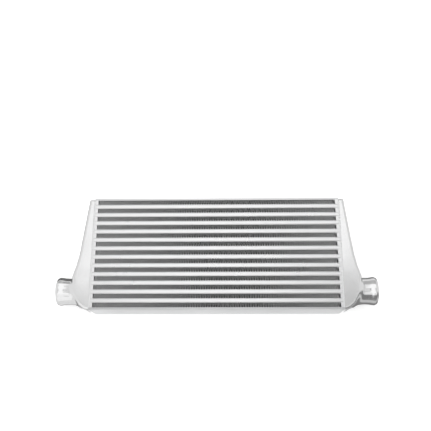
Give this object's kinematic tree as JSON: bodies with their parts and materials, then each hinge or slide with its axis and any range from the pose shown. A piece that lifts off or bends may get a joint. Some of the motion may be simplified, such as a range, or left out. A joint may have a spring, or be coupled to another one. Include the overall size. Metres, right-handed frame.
{
  "type": "front-mounted intercooler",
  "caption": "Air-to-air charge cooler: a bar-and-plate core of folded fins between two cast end tanks with round hose spigots at the same lower level.",
  "frame": {"origin": "under the middle of the core, on the plane that the part rests on when it lies on its back", "axes": "+X along the core's width towards the right-hand spigot, +Y towards the top side plate (up when fitted in a car), +Z out of the front face, where the cooling air goes in"},
  "size_m": [0.767, 0.2744, 0.078],
  "materials": {
    "core_bar": "milled aluminium bars, plates and sheets, satin",
    "fin_strip": "thin rolled aluminium fin stock, brazed",
    "cast_tank": "cast aluminium, blasted and lightly polished",
    "weld_metal": "rippled TIG weld"
  },
  "bodies": {
    "root": {"air_fin_01": "fin_strip", "air_fin_02": "fin_strip", "air_fin_03": "fin_strip", "air_fin_04": "fin_strip", "air_fin_05": "fin_strip", "air_fin_06": "fin_strip", "air_fin_07": "fin_strip", "air_fin_08": "fin_strip", "air_fin_09": "fin_strip", "air_fin_10": "fin_strip", "air_fin_11": "fin_strip", "air_fin_12": "fin_strip", "air_fin_13": "fin_strip", "bottom_plate": "core_bar", "charge_fin_01": "fin_strip", "charge_fin_02": "fin_strip", "charge_fin_03": "fin_strip", "charge_fin_04": "fin_strip", "charge_fin_05": "fin_strip", "charge_fin_06": "fin_strip", "charge_fin_07": "fin_strip", "charge_fin_08": "fin_strip", "charge_fin_09": "fin_strip", "charge_fin_10": "fin_strip", "charge_fin_11": "fin_strip", "charge_fin_12": "fin_strip", "end_bars_left": "core_bar", "end_bars_right": "core_bar", "end_tank_left": "cast_tank", "end_tank_right": "cast_tank", "front_bar_01": "core_bar", "front_bar_02": "core_bar", "front_bar_03": "core_bar", "front_bar_04": "core_bar", "front_bar_05": "core_bar", "front_bar_06": "core_bar", "front_bar_07": "core_bar", "front_bar_08": "core_bar", "front_bar_09": "core_bar", "front_bar_10": "core_bar", "front_bar_11": "core_bar", "front_bar_12": "core_bar", "parting_sheets": "core_bar", "rear_bar_01": "core_bar", "rear_bar_02": "core_bar", "rear_bar_03": "core_bar", "rear_bar_04": "core_bar", "rear_bar_05": "core_bar", "rear_bar_06": "core_bar", "rear_bar_07": "core_bar", "rear_bar_08": "core_bar", "rear_bar_09": "core_bar", "rear_bar_10": "core_bar", "rear_bar_11": "core_bar", "rear_bar_12": "core_bar", "top_plate": "core_bar", "weld_bead_left": "weld_metal", "weld_bead_right": "weld_metal"}
  },
  "joints": []
}
